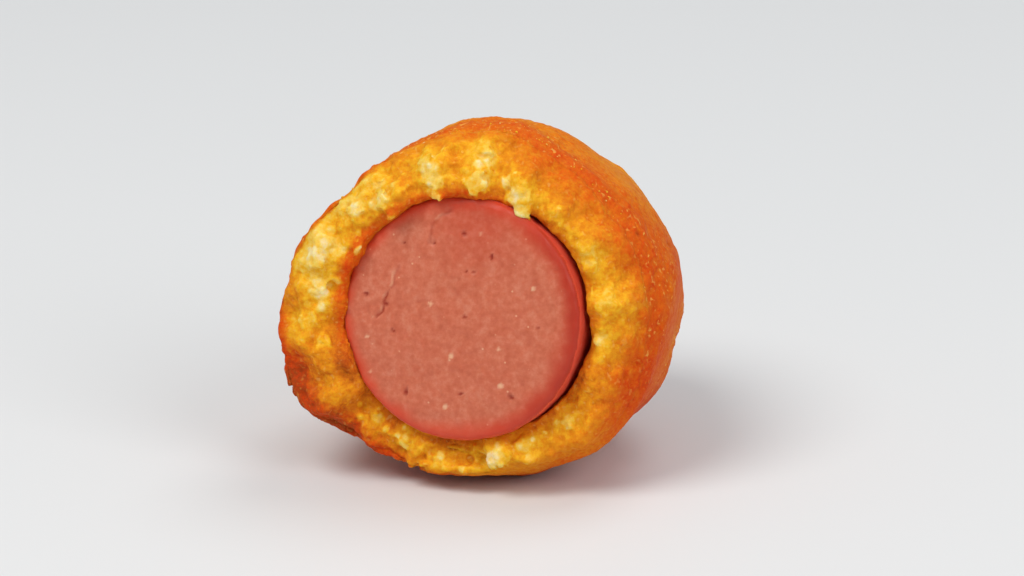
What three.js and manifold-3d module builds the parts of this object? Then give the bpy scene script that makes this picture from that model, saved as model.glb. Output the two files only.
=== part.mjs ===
// One half of a small corn dog, pulled apart across its middle: a piece of frankfurter in a thick
// coat of deep-fried cornmeal batter. It lies on its side on a small flat spot, and the torn end
// looks forwards and a little up. Millimetres, +Z up, the floor at z = 0, the torn end towards -Y,
// and the origin in the middle of the flat spot.
//
// Both pieces are shaped in the coat's own frame: y runs from the tear plane into the food along
// the coat's axis, and x and z cross it. The group that holds them lays them on the floor.
import * as THREE from "three";
import { mergeVertices } from "three/addons/utils/BufferGeometryUtils.js";
import { ImprovedNoise } from "three/addons/math/ImprovedNoise.js";
import Module from "manifold-3d";

const degrees = THREE.MathUtils.degToRad;

// The coat
const COAT_RADIUS = 14.65; // at the tear, where the food is thickest
const COAT_LENGTH = 27; // from the tear plane to the round end
const END_POWER = 3.1; // how long the coat stays thick towards its round end
const END_ROUND = 2.5; // how blunt the round end is
const RIM_ROUND = 0.5; // the torn crust's edge

// Its section: wider than high, a little three-sided, and flatter at the upper left
const WIDER = { by: 0.7, at: degrees(11) };
const THREE_SIDED = { by: 0.44, at: degrees(-30) };
const FLATTER = { by: 0.9, at: degrees(147), spread: degrees(18) };

// Its unevenness, each with the height and the width of its lumps and a seed
const SWELL = { height: 0.5, size: 9, seed: 41 };
const DIMPLE = { height: 0.2, size: 4, seed: 7 };
const CRAG = { height: 0.75, size: 2.6, seed: 3.3 }; // broken lumps of crumb on the tear
const GRIT = { height: 0.4, size: 1.25, seed: 17.6 }; // and the finer grit on them
const RAGGED = { height: 0.7, size: 2.6, seed: 29.4 }; // bites out of the torn crust's edge
const RAGGED_DEPTH = 2.5;

// The sausage
const SAUSAGE_RADIUS = 9.75;
const SAUSAGE_LENGTH = 21;
const SAUSAGE_OFFSET = new THREE.Vector3(0, 0, -0.6); // it lies a little under the coat's axis
const SAUSAGE_END_ROUND = 6;
const CUT_EDGE_ROUND = 0.7; // the casing's edge at the torn face
const FACE_DOME = 0.25; // the face bulges a little in the middle

// The pocket in the coat that holds the sausage
const FIT_GAP = 0.35; // all round the sausage
const SHRINK_GAP = 0.5; // more on the right, where the crumb has come away from the casing
const SHRINK_DEPTH = 7;
const POCKET_RADIUS = SAUSAGE_RADIUS + FIT_GAP;
const POCKET_DEPTH = SAUSAGE_LENGTH + FIT_GAP;

// The tear: how far the crumb stands out of the tear plane, as a mean and its change to the right
// and to the top, at the sausage and at the crust. Minus is back into the food.
const TEAR_AT_SAUSAGE = { mean: -0.3, right: -1.1, top: 0.8 };
const TEAR_AT_CRUST = { mean: -1.5, right: -1.9, top: -0.1 };
const TEAR_BEVEL = 1.6; // over 1 the crumb stays level and falls away near the crust
const TEAR_FADE = 7; // how far behind the tear the outside follows it
const MISSING = { depth: 1.1, at: degrees(-124), spread: degrees(18) }; // crumb that broke away

// How it lies
const TIP_BACK = degrees(10.5); // its balance on the floor
const REST_DEPTH = 13.2; // from the tear plane back to the middle of the flat spot
const REST_RADIUS = 12.85; // from the coat's axis down to the floor there
const FLOOR_BLOCK = 80;

// Mesh fineness
const COAT_SEGMENTS = 112;
const COAT_ROWS = 24;
const TEAR_ROWS = 8;
const POCKET_ROWS = 4;
const SAUSAGE_SEGMENTS = 72;
const SAUSAGE_ROWS = 6;
const FACE_ROWS = 5;
const CORNER_STEPS = 4;

const noise = new ImprovedNoise();
const NOISE_RANGE = 1.6; // brings the noise to about -1 to 1
const manifold = await Module();
manifold.setup();

// Soft lumps of one kind, in millimetres.
function lumps(point, kind) {
  const { x, y, z } = point.clone().divideScalar(kind.size);
  return kind.height * NOISE_RANGE * noise.noise(x + kind.seed, y, z);
}

// The angle between two directions, from 0 to half a turn.
function apart(angle, other) {
  return Math.abs(Math.atan2(Math.sin(angle - other), Math.cos(angle - other)));
}

// A value that is 1 at a place and fades to 0 at a distance from it.
function fading(distance, reach) {
  return 1 - THREE.MathUtils.smoothstep(distance, 0, reach);
}

// A value that is mean + right on the +x side and mean + top on the +z side.
function bySide(tilt, angle) {
  return tilt.mean + tilt.right * Math.cos(angle) + tilt.top * Math.sin(angle);
}

// Points on an arc between two directions, for a rounded corner of a profile.
function corner(centreX, centreY, radius, from, to) {
  return Array.from({ length: CORNER_STEPS }, (_, step) => {
    const turn = THREE.MathUtils.lerp(from, to, step / (CORNER_STEPS - 1));
    return new THREE.Vector2(
      centreX + radius * Math.cos(turn),
      centreY + radius * Math.sin(turn),
    );
  });
}

// Evenly spaced points of a straight stretch, without its two ends.
function between(start, end, count) {
  return Array.from({ length: count }, (_, i) =>
    start.clone().lerp(end, (i + 1) / (count + 1)),
  );
}

// A geometry as manifold-3d wants it: positions only, with shared vertices merged.
function closed(geometry) {
  geometry.deleteAttribute("normal");
  geometry.deleteAttribute("uv");
  return mergeVertices(geometry, 1e-4);
}

function solidOf(geometry) {
  return new manifold.Manifold(
    new manifold.Mesh({
      numProp: 3,
      vertProperties: geometry.getAttribute("position").array,
      triVerts: new Uint32Array(geometry.index.array),
    }),
  );
}

function geometryOf(solid) {
  const mesh = solid.getMesh();
  return new THREE.BufferGeometry()
    .setAttribute("position", new THREE.BufferAttribute(mesh.vertProperties, 3))
    .setIndex(new THREE.BufferAttribute(mesh.triVerts, 1));
}

// The coat's outer radius at a depth behind the tear, before its lumps.
function coatRadius(depth) {
  const along = Math.max(0, depth) / COAT_LENGTH;
  return COAT_RADIUS * (1 - along ** END_POWER) ** (1 / END_ROUND);
}

// How much the coat's section departs from a circle.
function lopsided(angle) {
  return (
    WIDER.by * Math.cos(2 * (angle - WIDER.at)) +
    THREE_SIDED.by * Math.cos(3 * (angle - THREE_SIDED.at)) -
    FLATTER.by * Math.exp(-((apart(angle, FLATTER.at) / FLATTER.spread) ** 2))
  );
}

// How far the crumb stands out of the tear plane. Share is 0 at the sausage and 1 at the crust.
function tearHeight(point, angle, share) {
  const level = THREE.MathUtils.lerp(
    bySide(TEAR_AT_SAUSAGE, angle),
    bySide(TEAR_AT_CRUST, angle),
    share ** TEAR_BEVEL,
  );
  const onPlane = new THREE.Vector3(point.x, 0, point.z);
  const beyond = Math.max(0, apart(angle, MISSING.at) - 0.8 * MISSING.spread);
  const missing = MISSING.depth * fading(beyond, 0.2 * MISSING.spread);
  return level + lumps(onPlane, CRAG) + lumps(onPlane, GRIT) - missing;
}

// The outside of the coat, from the torn edge to the round end, in rows of about equal spacing.
function outsideRows() {
  const fine = 4 * COAT_ROWS;
  const curve = Array.from({ length: fine }, (_, step) => {
    const turn = ((step + 1) / fine) * (Math.PI / 2);
    const depth = COAT_LENGTH * Math.sin(turn) ** (2 / END_POWER);
    return new THREE.Vector2(coatRadius(depth), depth);
  });
  const behindRim = curve.filter((point) => point.y > 2 * RIM_ROUND);
  return new THREE.SplineCurve(behindRim).getSpacedPoints(COAT_ROWS).slice(0, -1);
}

// The profile of the coat: from the bottom of its pocket, out over the tear and back to the end.
function coatProfile() {
  const endRound = SAUSAGE_END_ROUND + FIT_GAP;
  const bottom = corner(
    POCKET_RADIUS - endRound,
    POCKET_DEPTH - endRound,
    endRound,
    degrees(90),
    0,
  );
  const mouth = new THREE.Vector2(POCKET_RADIUS, 0);
  const rim = corner(COAT_RADIUS - RIM_ROUND, RIM_ROUND, RIM_ROUND, degrees(-90), degrees(-10));
  return [
    new THREE.Vector2(0, POCKET_DEPTH),
    ...bottom,
    ...between(bottom.at(-1), mouth, POCKET_ROWS),
    mouth,
    ...between(mouth, rim[0], TEAR_ROWS - 1),
    ...rim,
    ...outsideRows(),
    new THREE.Vector2(0, COAT_LENGTH),
  ];
}

// Where a point of the turned coat goes: the pocket moves with the sausage, the tear is broken up
// and the outside gets its section and its lumps.
function coatShape(point) {
  const radius = Math.hypot(point.x, point.z);
  const angle = Math.atan2(point.z, point.x);
  const depth = point.y;
  const inPocket = radius < POCKET_RADIUS + FIT_GAP / 2 && depth < POCKET_DEPTH + FIT_GAP;
  const share = (radius - POCKET_RADIUS) / (COAT_RADIUS - POCKET_RADIUS); // 0 to 1 over the tear
  const onCoat = inPocket ? 0 : depth > 2 * RIM_ROUND ? 1 : Math.min(1, share);

  const swell = lumps(point, SWELL) + lumps(point, DIMPLE);
  const thick = coatRadius(depth) / COAT_RADIUS;
  const bites = Math.max(0, lumps(point, RAGGED)) * fading(depth, RAGGED_DEPTH);
  const outwards = onCoat * (swell + thick * lopsided(angle) - bites);
  const shrink = inPocket ? SHRINK_GAP * Math.max(0, Math.cos(angle)) * fading(depth, SHRINK_DEPTH) : 0;
  const forwards = fading(depth, TEAR_FADE) * tearHeight(point, angle, onCoat);

  return point
    .multiply(new THREE.Vector3(1, 0, 1))
    .setLength(radius + outwards + shrink)
    .setY(depth - forwards + onCoat * (1 - thick) * swell)
    .addScaledVector(SAUSAGE_OFFSET, 1 - onCoat);
}

// The batter coat, with its flat spot cut by the floor that the group lies on.
function makeBatter(lying) {
  const coat = closed(new THREE.LatheGeometry(coatProfile(), COAT_SEGMENTS));
  const position = coat.getAttribute("position");
  for (let i = 0; i < position.count; i++) {
    const { x, y, z } = coatShape(new THREE.Vector3().fromBufferAttribute(position, i));
    position.setXYZ(i, x, y, z);
  }
  const floor = closed(new THREE.BoxGeometry(FLOOR_BLOCK, FLOOR_BLOCK, FLOOR_BLOCK))
    .translate(0, 0, -FLOOR_BLOCK / 2)
    .applyMatrix4(lying.matrix.clone().invert());
  const batter = new THREE.Mesh(geometryOf(solidOf(coat).subtract(solidOf(floor))), friedBatter());
  batter.name = "batter";
  return batter;
}

// The profile of the sausage: out over its slightly domed face, round the casing and to the end.
function sausageProfile() {
  const edge = SAUSAGE_RADIUS - CUT_EDGE_ROUND;
  const face = Array.from({ length: FACE_ROWS }, (_, row) => {
    const share = row / FACE_ROWS;
    return new THREE.Vector2(edge * share, -FACE_DOME * (1 - share ** 2));
  });
  const casing = corner(edge, CUT_EDGE_ROUND, CUT_EDGE_ROUND, degrees(-90), 0);
  const end = corner(
    SAUSAGE_RADIUS - SAUSAGE_END_ROUND,
    SAUSAGE_LENGTH - SAUSAGE_END_ROUND,
    SAUSAGE_END_ROUND,
    0,
    degrees(90),
  );
  return [
    ...face,
    ...casing,
    ...between(casing.at(-1), end[0], SAUSAGE_ROWS),
    ...end,
    new THREE.Vector2(0, SAUSAGE_LENGTH),
  ];
}

function makeSausage() {
  const geometry = new THREE.LatheGeometry(sausageProfile(), SAUSAGE_SEGMENTS);
  const sausage = new THREE.Mesh(geometry, frankfurterMeat());
  sausage.position.copy(SAUSAGE_OFFSET);
  sausage.name = "sausage";
  return sausage;
}

// Deep-fried cornmeal batter: golden orange, dull, with a trace of oil.
function friedBatter() {
  return new THREE.MeshStandardMaterial({ color: 0xe08a28, roughness: 0.55, metalness: 0 });
}

// Cooked frankfurter, cut: pale pinkish red and moist.
function frankfurterMeat() {
  return new THREE.MeshStandardMaterial({ color: 0xc76c53, roughness: 0.4, metalness: 0 });
}

// Tipped back about the middle of its flat spot, which lies at the origin.
function makeLyingGroup() {
  const lying = new THREE.Group();
  lying.rotation.x = -TIP_BACK;
  lying.position.set(0, -REST_DEPTH, REST_RADIUS).applyEuler(lying.rotation);
  lying.updateMatrix();
  return lying;
}

const cornDogHalf = new THREE.Group();
const lying = makeLyingGroup();
lying.add(makeBatter(lying), makeSausage());
cornDogHalf.add(lying);

export default cornDogHalf;
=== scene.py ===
# A torn half of a small corn dog: the fried crust, the open crumb and the frankfurter inside.
import math
import random

import bmesh
import bpy
from mathutils import Matrix, Vector, kdtree, noise
from mathutils.bvhtree import BVHTree


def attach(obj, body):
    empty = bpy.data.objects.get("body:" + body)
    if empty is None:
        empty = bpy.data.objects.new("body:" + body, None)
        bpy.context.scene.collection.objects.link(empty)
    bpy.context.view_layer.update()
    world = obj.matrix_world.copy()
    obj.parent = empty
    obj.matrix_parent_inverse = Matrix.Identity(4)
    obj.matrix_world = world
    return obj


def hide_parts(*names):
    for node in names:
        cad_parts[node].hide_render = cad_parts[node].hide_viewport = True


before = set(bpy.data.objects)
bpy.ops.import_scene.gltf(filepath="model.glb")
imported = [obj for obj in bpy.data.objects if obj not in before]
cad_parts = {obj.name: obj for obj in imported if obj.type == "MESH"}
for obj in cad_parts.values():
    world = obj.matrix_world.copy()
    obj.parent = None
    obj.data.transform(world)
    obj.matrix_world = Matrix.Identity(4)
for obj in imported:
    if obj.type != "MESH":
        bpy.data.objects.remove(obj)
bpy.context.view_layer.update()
mm = 0.001

# How the half lies. The pieces are worked on in the coat's own frame, in millimetres: y runs from
# the tear into the food along the coat's axis, and x and z cross it.
lie = {"tipBack": math.radians(10.5), "restDepth": 13.2, "restRadius": 12.85}
coatToPart = (
    Matrix.Scale(mm, 4)
    @ Matrix.Rotation(-lie["tipBack"], 4, "X")
    @ Matrix.Translation((0, -lie["restDepth"], lie["restRadius"]))
)
partToCoat = coatToPart.inverted()

# The frankfurter in mm, which the crumb is fitted to. It lies a little below the coat's axis.
sausageSize = {"radius": 9.75, "length": 21, "endRound": 6, "below": 0.6, "edgeRound": 0.6, "dome": 0.3}
pocketRadius = 10.1  # mm, of the hollow that it lies in

# The torn rim lies in a slanted plane: this deep at the axis in mm, and deeper to the right. The
# skin is about coatRadius from the axis there.
tearPlane = {"depth": 1.5, "slant": 0.13, "coatRadius": 14}

# How the tear changes round the coat: degrees from the right, how far in mm the browned batter
# reaches in from the skin, how dark it is there, how loose the crumb is, how round the rim is and
# how far the crumb's yellow turns to amber.
# At the lower left, the darkness and the amber are partly painted shade below the sausage and the crumb
# ring.
tearRound = [
    (-180, 0.5, 0.58, 1.0, 0.0, 0.02),
    (-168, 1.3, 0.82, 0.9, 0.0, 0.10),
    (-154, 4.3, 0.95, 0.6, 0.1, 0.17),
    (-141, 3.1, 0.95, 0.7, 0.1, 0.18),
    (-124, 1.6, 0.90, 0.8, 0.1, 0.15),
    (-100, 0.8, 0.58, 0.9, 0.2, 0.06),
    (-75, 0.9, 0.34, 0.9, 0.3, 0.03),
    (-50, 2.4, 0.37, 0.6, 0.7, 0.11),
    (-22, 3.9, 0.82, 0.4, 0.9, 0.12),
    (8, 2.2, 0.76, 0.4, 0.9, 0.0),
    (38, 3.0, 0.72, 0.4, 0.8, 0.03),
    (60, 3.1, 0.68, 0.5, 0.6, 0.04),
    (84, 1.6, 0.58, 0.8, 0.3, 0.06),
    (110, 0.7, 0.56, 1.0, 0.1, 0.06),
    (146, 0.5, 0.54, 1.0, 0.0, -0.08),
    (180, 0.5, 0.58, 1.0, 0.0, 0.02),
]


# Small helpers
def smoothStep(low, high, value):
    share = min(1, max(0, (value - low) / (high - low)))
    return share * share * (3 - 2 * share)


def mixed(low, high, share):
    return low + (high - low) * share


# Soft noise from about -1 to 1 with lumps of a size in mm, and finer and lower layers on it.
def lumps(point, size, seed=0.0, layers=1):
    total = 0.0
    for layer in range(layers):
        total += 1.6 * 0.5**layer * noise.noise(point * (2.1**layer / size) + Vector((seed, layer, 0)))
    return total


# Round spots scattered at random, from 1 in the middle of one to 0 outside: spacing and radius in
# mm, share is how many of the places hold one.
def spots(point, spacing, radius, share, seed=0.0):
    distances, places = noise.voronoi(point / spacing + Vector((seed, 0, 0)))
    luck = 0.5 + 0.5 * noise.cell(places[0] * 7.31)  # the factor only shuffles the places
    if luck > share:
        return 0.0
    size = radius * (0.5 + luck / share)
    return smoothStep(size, 0, distances[0] * spacing)


# The angle round the coat's axis, from the right over the top.
def angleOf(point):
    return math.atan2(point.z, point.x)


# The direction away from the coat's axis at an angle.
def awayAt(angle):
    return Vector((math.cos(angle), 0, math.sin(angle)))


def fromSausageAxis(point):
    return Vector((point.x, 0, point.z + sausageSize["below"]))


# How far outside the pocket a point lies, in mm.
def fromPocket(point):
    return fromSausageAxis(point).length - pocketRadius


def behindTear(point):
    return point.y - tearPlane["depth"] - tearPlane["slant"] * point.x


# The depth of a place some mm behind the tear, at the skin in a direction away from the axis.
def depthAtSkin(away, behind):
    return tearPlane["depth"] + behind + tearPlane["slant"] * tearPlane["coatRadius"] * away.x


# What a table holds at an angle in degrees, softly mixed from the rows on both sides of it.
def rowAt(rows, degrees):
    for low, high in zip(rows, rows[1:]):
        if degrees <= high[0]:
            share = smoothStep(low[0], high[0], degrees)
            return [mixed(a, b, share) for a, b in zip(low[1:], high[1:])]
    return list(rows[-1][1:])


# The columns of tearRound at an angle.
def tearAt(angle):
    return rowAt(tearRound, math.degrees(angle))


# How far an angle is inside a stretch of the tear, from 0 to 1. Its ends and fades are in degrees.
def within(stretch, angle):
    degrees = math.degrees(angle)
    fadeIn, fadeOut = stretch["fades"]
    begun = smoothStep(stretch["from"], stretch["from"] + fadeIn, degrees)
    return begun * smoothStep(stretch["to"], stretch["to"] - fadeOut, degrees)


def newPiece(name, data):
    piece = bpy.data.objects.new(name, data)
    bpy.context.scene.collection.objects.link(piece)
    return piece


def meshFrom(name, bm):
    mesh = bpy.data.meshes.new(name)
    bm.to_mesh(mesh)
    bm.free()
    return mesh


def bakeShape(piece):
    graph = bpy.context.evaluated_depsgraph_get()
    done = bpy.data.meshes.new_from_object(piece.evaluated_get(graph), depsgraph=graph)
    piece.modifiers.clear()
    piece.data = done


# Evens out a piece's bumps, a little more with each round.
def soften(piece, rounds):
    modifier = piece.modifiers.new("soft", "SMOOTH")
    modifier.factor = 0.5
    modifier.iterations = rounds


# One even skin of small squares over everything in the piece, with its size in millimetres.
def remesh(piece, size, smoothing=0):
    modifier = piece.modifiers.new("skin", "REMESH")
    modifier.mode = "VOXEL"
    modifier.voxel_size = size
    if smoothing:
        soften(piece, smoothing)
    bakeShape(piece)


# Moves every vertex by what the rule gives for its place and normal.
def sculpt(piece, rule):
    moves = [rule(vertex.co, vertex.normal) for vertex in piece.data.vertices]
    for vertex, move in zip(piece.data.vertices, moves):
        vertex.co += move
    piece.data.update()


# Keeps what the rule gives for each vertex as attributes, for the material.
def keep(piece, rule):
    mesh = piece.data
    rows = [rule(vertex.co, vertex.normal, vertex.index) for vertex in mesh.vertices]
    for name in rows[0]:
        layer = mesh.attributes.new(name, "FLOAT", "POINT")
        layer.data.foreach_set("value", [min(1, max(0, row[name])) for row in rows])


# Drops whatever isn't joined to the largest part of the piece.
def dropLooseBits(piece):
    bm = bmesh.new()
    bm.from_mesh(piece.data)
    unseen = set(bm.verts)
    largest = set()
    while unseen:
        island = {unseen.pop()}
        edge = set(island)
        while edge:
            edge = {link.other_vert(vertex) for vertex in edge for link in vertex.link_edges} - island
            island |= edge
        unseen -= island
        if len(island) > len(largest):
            largest = island
    loose = [vertex for vertex in bm.verts if vertex not in largest]
    bmesh.ops.delete(bm, geom=loose, context="VERTS")
    bm.to_mesh(piece.data)
    bm.free()


# How far each vertex stands out of the surface round it, in mm.
def standsOut(piece, rounds):
    smooth = newPiece("smooth", piece.data.copy())
    soften(smooth, rounds)
    bakeShape(smooth)
    pairs = zip(piece.data.vertices, smooth.data.vertices)
    out = [(rough.co - even.co).dot(even.normal) for rough, even in pairs]
    bpy.data.objects.remove(smooth)
    return out


def finishPiece(piece, material, node=None):
    piece.data.transform(coatToPart)
    for vertex in piece.data.vertices:
        vertex.co.z = max(0, vertex.co.z)  # nothing sinks into the floor
    piece.data.shade_smooth()
    piece.data.materials.clear()
    piece.data.materials.append(material)
    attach(piece, "root")
    if node:
        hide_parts(node)
    print(piece.name, sum(len(face.vertices) - 2 for face in piece.data.polygons), "triangles")


# Colours and nodes
def colour(code):
    parts = [int(code[i : i + 2], 16) / 255 for i in (1, 3, 5)]
    return (*[p / 12.92 if p <= 0.04045 else ((p + 0.055) / 1.055) ** 2.4 for p in parts], 1)


# Adds a node and gives one of its outputs. Settings are its own values or its sockets' values, links
# name the sockets that other nodes feed, and stops are a colour ramp's places and colours.
def addNode(tree, kind, settings=None, links=None, stops=None, output=0):
    node = tree.nodes.new("ShaderNode" + kind)
    for key, value in (settings or {}).items():
        if isinstance(key, str) and hasattr(node, key):
            setattr(node, key, value)
        else:
            node.inputs[key].default_value = value
    for key, source in (links or {}).items():
        tree.links.new(source, node.inputs[key])
    if stops:
        elements = node.color_ramp.elements
        while len(elements) < len(stops):
            elements.new(0.5)
        for element, (place, code) in zip(elements, stops):
            element.position = place
            element.color = colour(code)
    return node.outputs[output]


# A material, with its nodes for the object's own places and for the attributes that it reads.
def newMaterial(name, settings, attributes=()):
    material = bpy.data.materials.new(name)
    material.use_nodes = True
    tree = material.node_tree
    shader = tree.nodes["Principled BSDF"]
    for socket, value in settings.items():
        shader.inputs[socket].default_value = value
    place = addNode(tree, "TexCoord", output="Object")
    kept = {key: addNode(tree, "Attribute", {"attribute_name": key}, output="Fac") for key in attributes}
    return material, tree, shader.inputs, place, kept


perMm = 1 / mm  # a texture scale of one pattern to the millimetre, on coordinates in metres

# Fried cornmeal batter. The skin is golden where the oil only just took it and darkens to russet,
# with fine mottling and pale grits. The moist crumb is yellow, and cream on dry lumps of meal; its
# painted shade makes it deeper amber in the hollows. The grits are a little coarser than fine meal,
# so that they show.
batterFinish = {
    "skinTones": [
        (0.0, "#E9A92E"), (0.28, "#E08A18"), (0.52, "#D76610"), (0.78, "#D0440C"), (1.0, "#A64416"),
    ],
    "crumbTones": [
        (0.0, "#F0DBA2"), (0.18, "#F0CC60"), (0.4, "#EDB224"), (0.6, "#E39218"), (0.8, "#D27416"),
        (1.0, "#A85214"),
    ],
    "grit": "#ECB254",
    "paleMeal": "#F4D274",
    "pit": "#8A3612",
    # The size of each texture's pattern in mm, its layers of detail and how rough they are.
    "textures": {
        "patches": (6.5, 5, 0.6),
        "mottle": (0.8, 5, 0.7),
        "speckle": (0.28, 2, 0.6),
        "grits": (0.32, 0, 0.5),
        "crumbGrain": (0.4, 4, 0.65),
        "coarse": (0.8, 3, 0.6),
        "fine": (0.2, 3, 0.6),
    },
    # How far textures shift the skin's tone, the crumb's tone and the browned edge between them.
    "shifts": {
        "browning": {"patches": 0.6, "mottle": 0.5, "speckle": 0.45},
        "crumbTone": {"crumbGrain": 0.7},
        "fried": {"mottle": 0.8},
    },
    "friedFade": (0.08, 0.92),
    "gritFades": {"mottle": (0.43, 0.6), "grits": (0.62, 0.74)},  # where they gather, and each one
    "dullFade": (0.3, 0.7),
}


def cornmealBatter(name, settings, relief):
    f = batterFinish
    attributes = ("browning", "fried", "crumbTone", "gritty", "pit")
    material, tree, shader, place, kept = newMaterial(name, settings, attributes)
    textures = {}
    for key, (size, detail, roughness) in f["textures"].items():
        pattern = {"Scale": perMm / size, "Detail": detail, "Roughness": roughness}
        textures[key] = addNode(tree, "TexNoise", pattern, {"Vector": place})

    for key, amounts in f["shifts"].items():
        for texture, amount in amounts.items():
            centring = {"operation": "MULTIPLY_ADD", 1: amount, 2: -0.5 * amount}
            centred = addNode(tree, "Math", centring, {0: textures[texture]})
            kept[key] = addNode(tree, "Math", {"operation": "ADD"}, {0: kept[key], 1: centred})

    grit = kept["gritty"]
    for texture, (low, high) in f["gritFades"].items():
        fade = {"From Min": low, "From Max": high, "To Min": 0.0}
        grit = addNode(tree, "MapRange", fade, {"Value": textures[texture], "To Max": grit})

    # The skin with its grits and the crumb with its paler meal, mixed by how fried the batter is.
    tones = {}
    for key, stops, fleck in (("browning", "skinTones", "grit"), ("crumbTone", "crumbTones", "paleMeal")):
        ramp = addNode(tree, "ValToRGB", None, {"Fac": kept[key]}, f[stops])
        blend = {"data_type": "RGBA", 7: colour(f[fleck])}
        tones[key] = addNode(tree, "Mix", blend, {0: grit, 6: ramp}, output=2)
    low, high = f["friedFade"]
    fade = {"interpolation_type": "SMOOTHSTEP", "From Min": low, "From Max": high}
    fried = addNode(tree, "MapRange", fade, {"Value": kept["fried"]})
    links = {0: fried, 6: tones["crumbTone"], 7: tones["browning"]}
    surface = addNode(tree, "Mix", {"data_type": "RGBA"}, links, output=2)
    blend = {"data_type": "RGBA", 7: colour(f["pit"])}
    surface = addNode(tree, "Mix", blend, {0: kept["pit"], 6: surface}, output=2)
    tree.links.new(surface, shader["Base Color"])

    low, high = f["dullFade"]
    fade = {"From Min": low, "From Max": high, "To Min": relief["glossy"], "To Max": relief["dull"]}
    dull = addNode(tree, "MapRange", fade, {"Value": textures["mottle"]})
    tree.links.new(dull, shader["Roughness"])
    normal = None
    for key in ("coarse", "fine"):
        links = {"Height": textures[key]}
        if normal:
            links["Normal"] = normal
        normal = addNode(tree, "Bump", {"Strength": 1.0, "Distance": relief[key] * mm}, links)
    tree.links.new(normal, shader["Normal"])
    return material


# The fried skin has a thin, broken film of oil on it. The relief is the roughness of its glossy and
# dull spots, and the height of its coarse and fine bumps in mm.
def friedCrust():
    settings = {
        "IOR": 1.46,
        "Specular IOR Level": 0.08,
        "Subsurface Weight": 0.2,
        "Subsurface Radius": (1.0, 0.5, 0.15),
        "Subsurface Scale": 0.8 * mm,
        "Coat Weight": 0.02,
        "Coat Roughness": 0.3,
        "Coat IOR": 1.47,
    }
    relief = {"glossy": 0.5, "dull": 0.78, "coarse": 0.2, "fine": 0.04}
    return cornmealBatter("friedCornmealCrust", settings, relief)


# The crumb is soft and matt, and light goes a little way into it.
def tornCrumb():
    settings = {
        "IOR": 1.4,
        "Specular IOR Level": 0.12,
        "Subsurface Weight": 0.4,
        "Subsurface Radius": (1.0, 0.6, 0.2),
        "Subsurface Scale": 1.2 * mm,
    }
    relief = {"glossy": 0.62, "dull": 0.85, "coarse": 0.14, "fine": 0.045}
    return cornmealBatter("tornCornmealCrumb", settings, relief)


# Cooked frankfurter: finely ground meat, moist and faintly mottled on the torn face, in a thin
# smoked casing that is redder and glossier.
meatFinish = {
    "tones": [(0.3, "#BF6145"), (0.5, "#C96D50"), (0.72, "#D28064")],
    "fat": "#E9C09A",
    "casing": "#DE5642",
    # The rim's red also paints shade at the top of the face, under the overhanging crumb.
    "rim": "#D04326",
    # The pit's dark red also paints shade at the top of the face and along its right edge.
    "pit": "#A02511",
    "mottleSize": 0.55,  # mm, as are all the sizes here
    "smearSize": 1.1,
    "smearLength": 2.6,
    "smearShift": 0.4,
    "fatSpacing": 1.3,
    "fatRadius": 0.11,
    "fatShare": 0.5,
    "grainSize": 0.3,
    "grainHeight": 0.05,
    "glossy": 0.34,
    "dull": 0.5,
}


def frankfurter():
    f = meatFinish
    settings = {
        "IOR": 1.42,
        "Specular IOR Level": 0.4,
        "Subsurface Weight": 0.5,
        "Subsurface Radius": (1.0, 0.35, 0.25),
        "Subsurface Scale": 1.6 * mm,
    }
    attributes = ("rim", "casing", "pit", "fleck")
    material, tree, shader, place, kept = newMaterial("cookedFrankfurter", settings, attributes)
    pattern = {"Scale": perMm / f["mottleSize"], "Detail": 5, "Roughness": 0.62}
    mottle = addNode(tree, "TexNoise", pattern, {"Vector": place})
    across, along = perMm / f["smearSize"], perMm / f["smearLength"]
    smeared = addNode(tree, "Mapping", {"Scale": (across, across, along)}, {"Vector": place})
    pattern = {"Scale": 1.0, "Detail": 3, "Roughness": 0.5}
    smear = addNode(tree, "TexNoise", pattern, {"Vector": smeared})
    shift = {"operation": "MULTIPLY_ADD", 1: f["smearShift"]}
    tone = addNode(tree, "Math", shift, {0: smear, 2: mottle})
    tone = addNode(tree, "Math", {"operation": "ADD", 1: -0.5 * f["smearShift"]}, {0: tone})
    surface = addNode(tree, "ValToRGB", None, {"Fac": tone}, f["tones"])

    flecks = {"Scale": perMm / f["fatSpacing"], "Randomness": 1.0}
    away = addNode(tree, "TexVoronoi", flecks, {"Vector": place}, output="Distance")
    edge = f["fatRadius"] / f["fatSpacing"]
    fade = {"From Min": edge, "From Max": 0.4 * edge, "To Min": 0.0, "To Max": f["fatShare"]}
    fat = addNode(tree, "MapRange", fade, {"Value": away})
    # The fat's pale colour also carries the painted highlight along the cracks.
    kept["fat"] = addNode(tree, "Math", {"operation": "MAXIMUM"}, {0: fat, 1: kept["fleck"]})
    # The rim and pit colours also carry painted shade at the top of the face and along its right edge.
    for key in ("fat", "rim", "casing", "pit"):
        blend = {"data_type": "RGBA", 7: colour(f[key])}
        surface = addNode(tree, "Mix", blend, {0: kept[key], 6: surface}, output=2)
    tree.links.new(surface, shader["Base Color"])

    fade = {"From Min": 0.35, "From Max": 0.65, "To Min": f["glossy"], "To Max": f["dull"]}
    dull = addNode(tree, "MapRange", fade, {"Value": mottle})
    tree.links.new(dull, shader["Roughness"])
    grain = addNode(tree, "TexNoise", {"Scale": perMm / f["grainSize"], "Detail": 3}, {"Vector": place})
    bumps = {"Strength": 0.45, "Distance": f["grainHeight"] * mm}
    tree.links.new(addNode(tree, "Bump", bumps, {"Height": grain}), shader["Normal"])
    return material


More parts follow.
